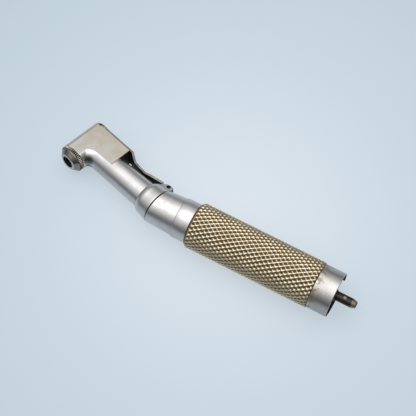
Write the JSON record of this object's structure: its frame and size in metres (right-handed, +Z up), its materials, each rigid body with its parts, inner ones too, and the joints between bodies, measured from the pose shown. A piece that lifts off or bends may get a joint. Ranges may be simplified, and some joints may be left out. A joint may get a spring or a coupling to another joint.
{
  "type": "contra-angle dental handpiece",
  "caption": "Geared contra-angle dental handpiece with a latch head, knurled grip and an open rear socket round its drive shaft.",
  "frame": {"origin": "centre of the base rectangle of the tool as it lies on a table, resting on its grip and one corner of the head", "axes": "+X runs along the handle to the drive shaft's tip, +Z is up from the table, +Y is the side that the back of the head lies towards"},
  "size_m": [0.0968, 0.0222, 0.014],
  "materials": {
    "head": "flat polished nickel plate, lightly tarnished",
    "satin": "satin nickel plate",
    "nose": "dark steel",
    "lever": "spring steel strip",
    "spring": "spring steel",
    "pin": "dark steel",
    "grip": "worn nickel plate over knurled brass",
    "inner": "plain turned brass",
    "bronze": "turned bronze",
    "shaft": "blackened steel",
    "gear": "hardened steel"
  },
  "bodies": {
    "handpiece": {"head_housing": "head", "nose_cap": "nose", "nose_bush": "bronze", "back_bush": "bronze", "neck_front_bush": "bronze", "neck_rear_bush": "bronze", "latch_pin": "pin", "latch_spring": "spring", "hinge_collar": "satin", "elbow_tube": "inner", "taper_sleeve": "satin", "front_ring": "satin", "grip_sleeve": "grip", "body_core": "inner", "rear_collar": "satin", "bearing_nut": "inner", "shaft_front_bush": "bronze", "shaft_rear_bush": "bronze"},
    "latch": {"latch_lever": "lever"},
    "bur_spindle": {"bur_spindle": "shaft", "spindle_gear": "gear"},
    "neck_shaft": {"neck_pinion": "gear", "neck_shaft": "shaft", "neck_gear": "gear", "neck_thrust_ring": "bronze"},
    "drive_shaft": {"drive_shaft": "shaft", "drive_gear": "gear", "drive_thrust_ring": "bronze", "shaft_collar": "shaft"}
  },
  "joints": [
    {"name": "latch_hinge", "type": "hinge", "parent": "handpiece", "child": "latch", "pos_m": [-0.01471, 0.00181, 0.00552], "axis": [0, -0.2409, -0.9706], "range_deg": [0, 25], "stiffness_Nm_per_rad": 0.02},
    {"name": "drive_spin", "type": "hinge", "parent": "handpiece", "child": "drive_shaft", "pos_m": [-0.01464, -0.00414, 0.007], "axis": [1, 0, 0], "continuous": true},
    {"name": "neck_spin", "type": "hinge", "parent": "handpiece", "child": "neck_shaft", "pos_m": [-0.01464, -0.00414, 0.007], "axis": [0.9659, -0.2512, 0.0623], "continuous": true},
    {"name": "bur_spin", "type": "hinge", "parent": "handpiece", "child": "bur_spindle", "pos_m": [-0.04246, 0.0031, 0.0052], "axis": [0.284, 0.9306, -0.231], "continuous": true}
  ],
  "couplings": [
    {"joint": "neck_spin", "follows": "drive_spin", "ratio": 1},
    {"joint": "bur_spin", "follows": "drive_spin", "ratio": -1}
  ]
}
